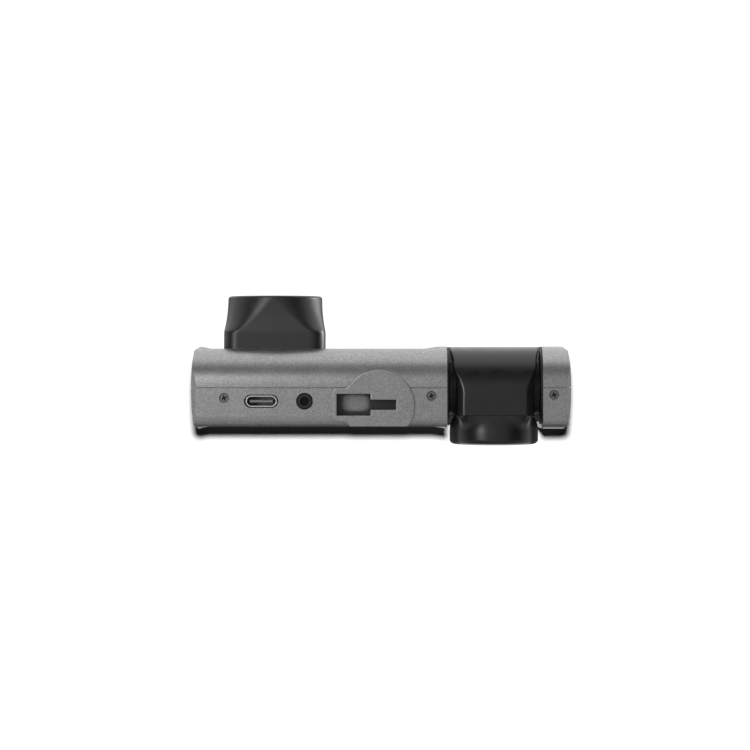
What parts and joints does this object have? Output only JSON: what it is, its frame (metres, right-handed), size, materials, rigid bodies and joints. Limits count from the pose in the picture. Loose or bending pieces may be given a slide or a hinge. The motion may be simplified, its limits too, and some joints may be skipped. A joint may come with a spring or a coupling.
{
  "type": "dash camera",
  "caption": "Windscreen dash camera: two-shell body with a fixed road lens, a slotted mounting pad, ports, a display with keys, and a cabin camera that tilts in a bay near one end.",
  "frame": {"origin": "middle of the base, on the plane where the front and rear shells meet", "axes": "+X along the body towards the cabin camera, +Y towards the windscreen, +Z out of the mounting side"},
  "size_m": [0.108, 0.043, 0.0507],
  "materials": {
    "grey_paint": "moulded shell with satin metallic grey paint",
    "black_plastic": "fine-textured black moulding",
    "gloss_black": "polished black moulding",
    "clear_glass": "flat coated cover glass",
    "lens_glass": "lens element with an anti-reflection coating",
    "display_glass": "dark gloss window over the display",
    "display_cell": "liquid crystal cell, switched off",
    "circuit_board": "solder mask on glass fibre board",
    "bright_steel": "plated sheet and turned steel",
    "black_steel": "black oxide screw",
    "heat_sink_aluminium": "anodised fins",
    "battery_foil": "laminated foil pouch",
    "label_stock": "blank satin rating plate",
    "led_package": "moulded light source",
    "light_pipe": "clear moulded rod",
    "spring_bronze": "phosphor bronze wave washer",
    "ribbon_film": "polyimide flat cable"
  },
  "bodies": {
    "body": {"front_shell": "grey_paint", "rear_shell": "grey_paint", "mount_shoe": "grey_paint", "lens_housing": "black_plastic", "lens_bezel": "gloss_black", "lens_cover_glass": "clear_glass", "lens_barrel": "black_plastic", "lens_front_element": "lens_glass", "lens_holder": "black_plastic", "infrared_filter": "clear_glass", "image_sensor": "gloss_black", "main_board": "circuit_board", "processor": "gloss_black", "heat_sink": "heat_sink_aluminium", "memory_chip": "gloss_black", "radio_shield": "bright_steel", "usb_shell": "bright_steel", "usb_tongue": "gloss_black", "av_jack": "black_plastic", "card_socket": "bright_steel", "battery": "battery_foil", "speaker": "black_plastic", "microphone": "bright_steel", "rating_plate": "label_stock", "display_window": "display_glass", "display_panel": "display_cell", "display_bracket": "bright_steel", "key_board": "circuit_board", "key_switches": "bright_steel", "status_led": "led_package", "status_light": "light_pipe", "case_screws": "black_steel", "board_screws": "bright_steel", "inner_hub": "black_plastic", "outer_hub": "black_plastic", "body_ribbon": "ribbon_film", "friction_washers": "spring_bronze"},
    "cabin_camera": {"cabin_housing": "black_plastic", "cabin_lens_cap": "black_plastic", "cabin_window": "gloss_black", "cabin_lens_ring": "black_plastic", "cabin_cover_glass": "clear_glass", "cabin_lens_barrel": "black_plastic", "cabin_front_element": "lens_glass", "cabin_lens_holder": "black_plastic", "cabin_board": "circuit_board", "cabin_sensor": "gloss_black", "led_board": "circuit_board", "infrared_leds": "led_package", "cabin_screws": "bright_steel", "inner_axle": "black_plastic", "outer_axle": "black_plastic", "axle_clips": "bright_steel", "cabin_ribbon": "ribbon_film"},
    "power_key": {"power_button": "black_plastic"},
    "menu_key": {"menu_button": "black_plastic"},
    "record_key": {"record_button": "black_plastic"},
    "mode_key": {"mode_button": "black_plastic"},
    "lock_key": {"lock_button": "black_plastic"}
  },
  "joints": [
    {"name": "cabin_camera_tilt", "type": "hinge", "parent": "body", "child": "cabin_camera", "pos_m": [0.0324, 0, 0.0366], "axis": [1, 0, 0], "range_deg": [-45, 90]},
    {"name": "power_key_press", "type": "slide", "parent": "body", "child": "power_key", "axis": [0, 1, 0], "range_m": [0, 0.0004], "stiffness_N_per_m": 300, "springref_m": -0.0005},
    {"name": "menu_key_press", "type": "slide", "parent": "body", "child": "menu_key", "axis": [0, 1, 0], "range_m": [0, 0.0004], "stiffness_N_per_m": 300, "springref_m": -0.0005},
    {"name": "record_key_press", "type": "slide", "parent": "body", "child": "record_key", "axis": [0, 1, 0], "range_m": [0, 0.0004], "stiffness_N_per_m": 300, "springref_m": -0.0005},
    {"name": "mode_key_press", "type": "slide", "parent": "body", "child": "mode_key", "axis": [0, 1, 0], "range_m": [0, 0.0004], "stiffness_N_per_m": 300, "springref_m": -0.0005},
    {"name": "lock_key_press", "type": "slide", "parent": "body", "child": "lock_key", "axis": [0, 1, 0], "range_m": [0, 0.0004], "stiffness_N_per_m": 300, "springref_m": -0.0005}
  ]
}
